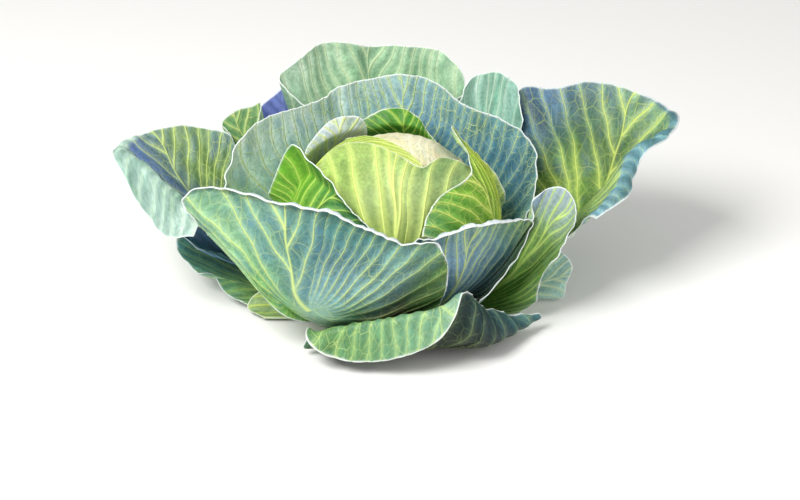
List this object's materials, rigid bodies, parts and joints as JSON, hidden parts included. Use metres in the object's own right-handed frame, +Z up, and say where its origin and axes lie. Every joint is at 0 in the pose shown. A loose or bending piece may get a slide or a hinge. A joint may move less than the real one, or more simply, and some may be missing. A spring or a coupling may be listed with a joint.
{
  "type": "white cabbage",
  "caption": "Opened white cabbage: a round pale heart wrapped by curled leaves, with broad veined outer leaves spreading round it, standing on its cut stump.",
  "frame": {"origin": "centre of the stump's cut face, which the plant rests on", "axes": "+Z up along the stump; the front, where the cup leaves close over the ground leaf, faces -Y; +X to the right"},
  "size_m": [0.5153, 0.3189, 0.1777],
  "materials": {
    "stump": "pale cut stalk, fibrous, dry",
    "heart": "packed cream leaf, smooth and slightly waxy",
    "heart_leaf": "yellow-green young leaf with raised pale ribs, satin",
    "wrapper_leaf": "fresh green leaf with net veins and a white rim, satin",
    "outer_leaf": "blue-green waxy leaf with yellow-green veins and a pale rim, satin",
    "ground_leaf": "older green leaf with net veins and a wavy pale rim, satin"
  },
  "bodies": {
    "root": {"stump": "stump", "heart": "heart", "heart_leaf_back": "heart_leaf", "heart_leaf_middle": "heart_leaf", "heart_leaf_front": "heart_leaf", "wrapper_leaf_right": "wrapper_leaf", "wrapper_leaf_left": "wrapper_leaf", "wrapper_leaf_back_left": "wrapper_leaf", "wrapper_leaf_back": "wrapper_leaf", "cup_leaf_front_right": "outer_leaf", "cup_leaf_front_left": "outer_leaf", "collar_leaf": "outer_leaf", "outer_leaf_back": "outer_leaf", "outer_leaf_back_right": "outer_leaf", "outer_leaf_right": "outer_leaf", "outer_leaf_back_left_green": "outer_leaf", "outer_leaf_back_left_blue": "outer_leaf", "outer_leaf_left": "outer_leaf", "outer_leaf_front_right": "outer_leaf", "ground_leaf_front": "ground_leaf", "ground_leaf_left": "ground_leaf", "ground_leaf_left_inner": "ground_leaf", "ground_leaf_left_small": "ground_leaf", "ground_leaf_back_right": "ground_leaf", "ground_leaf_back": "ground_leaf", "ground_leaf_right": "ground_leaf"}
  },
  "joints": []
}
